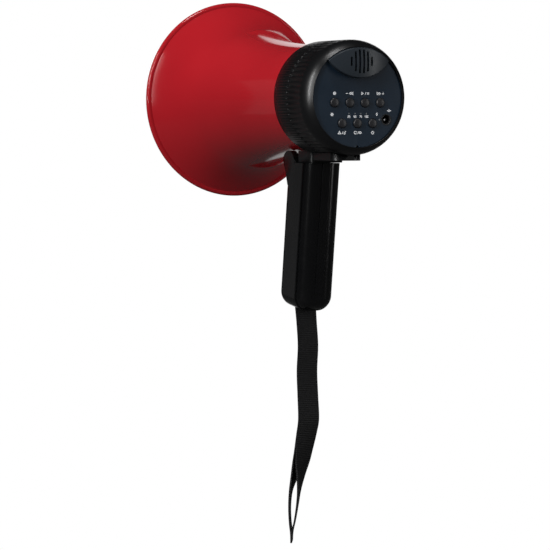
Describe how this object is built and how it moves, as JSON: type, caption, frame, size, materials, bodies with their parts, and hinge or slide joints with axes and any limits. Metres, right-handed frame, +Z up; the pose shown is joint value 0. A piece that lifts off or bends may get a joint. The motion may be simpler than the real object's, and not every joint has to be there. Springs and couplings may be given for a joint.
{
  "type": "handheld megaphone",
  "caption": "Handheld megaphone with a flared red bell, ribbed amplifier housing, rear button panel, folding grip and webbing wrist strap.",
  "frame": {"origin": "centre of the hand grip, where a hand holds the megaphone", "axes": "+Y along the horn axis towards the bell's mouth, +Z up, +X to the user's right"},
  "size_m": [0.16, 0.2315, 0.4331],
  "materials": {
    "bell_red": "glossy moulded red",
    "housing_black": "semi-gloss black",
    "panel_navy": "satin navy",
    "cover_slate": "satin slate grey",
    "button_grey": "soft satin",
    "grip_black": "high gloss black",
    "inner_black": "matt black",
    "steel": "zinc plated",
    "ferrite": "sintered",
    "board_green": "solder mask",
    "chip": "matt",
    "capacitor": "sleeved",
    "film": "formed film",
    "copper": "wound wire",
    "cell_sleeve": "shrink sleeve over a can",
    "lamp": "clear moulded",
    "webbing": "woven webbing",
    "mic_rubber": "matt"
  },
  "bodies": {
    "grip": {"handle_front_shell": "grip_black", "handle_rear_cover": "grip_black", "handle_screws": "steel", "battery_cell": "cell_sleeve", "battery_contacts": "steel", "strap_anchor_pin": "steel", "wrist_strap": "webbing", "hinge_pin": "steel"},
    "head": {"amplifier_board": "board_green", "amplifier_chip": "chip", "amplifier_housing": "housing_black", "battery_lights": "lamp", "board_screws": "steel", "board_spacers": "inner_black", "bracket_screws": "steel", "capacitors": "capacitor", "charge_light": "lamp", "control_board": "board_green", "control_panel": "panel_navy", "dc_jack": "inner_black", "dc_jack_pin": "steel", "diaphragm": "film", "driver_cap": "inner_black", "driver_magnet": "ferrite", "driver_top_plate": "steel", "driver_yoke": "steel", "handle_bracket": "housing_black", "horn_bell": "bell_red", "horn_screws": "steel", "mic_boot": "mic_rubber", "mic_capsule": "capacitor", "mic_cover": "cover_slate", "reflector_cup": "bell_red", "tact_switch_1": "chip", "tact_switch_2": "chip", "tact_switch_3": "chip", "tact_switch_4": "chip", "tact_switch_5": "chip", "tact_switch_6": "chip", "tact_switch_7": "chip", "tone_tube": "inner_black", "voice_coil": "copper"},
    "button_1": {"button_1": "button_grey"},
    "button_2": {"button_2": "button_grey"},
    "button_3": {"button_3": "button_grey"},
    "button_4": {"button_4": "button_grey"},
    "button_5": {"button_5": "button_grey"},
    "button_6": {"button_6": "button_grey"},
    "button_7": {"button_7": "button_grey"}
  },
  "joints": [
    {"name": "handle_fold", "type": "hinge", "parent": "grip", "child": "head", "pos_m": [0, 0.006, 0.0565], "axis": [-1, 0, 0], "range_deg": [0, 65]},
    {"name": "press_1", "type": "slide", "parent": "head", "child": "button_1", "axis": [0, 1, 0], "range_m": [0, 0.0008], "stiffness_N_per_m": 1200},
    {"name": "press_2", "type": "slide", "parent": "head", "child": "button_2", "axis": [0, 1, 0], "range_m": [0, 0.0008], "stiffness_N_per_m": 1200},
    {"name": "press_3", "type": "slide", "parent": "head", "child": "button_3", "axis": [0, 1, 0], "range_m": [0, 0.0008], "stiffness_N_per_m": 1200},
    {"name": "press_4", "type": "slide", "parent": "head", "child": "button_4", "axis": [0, 1, 0], "range_m": [0, 0.0008], "stiffness_N_per_m": 1200},
    {"name": "press_5", "type": "slide", "parent": "head", "child": "button_5", "axis": [0, 1, 0], "range_m": [0, 0.0008], "stiffness_N_per_m": 1200},
    {"name": "press_6", "type": "slide", "parent": "head", "child": "button_6", "axis": [0, 1, 0], "range_m": [0, 0.0008], "stiffness_N_per_m": 1200},
    {"name": "press_7", "type": "slide", "parent": "head", "child": "button_7", "axis": [0, 1, 0], "range_m": [0, 0.0008], "stiffness_N_per_m": 1200}
  ]
}
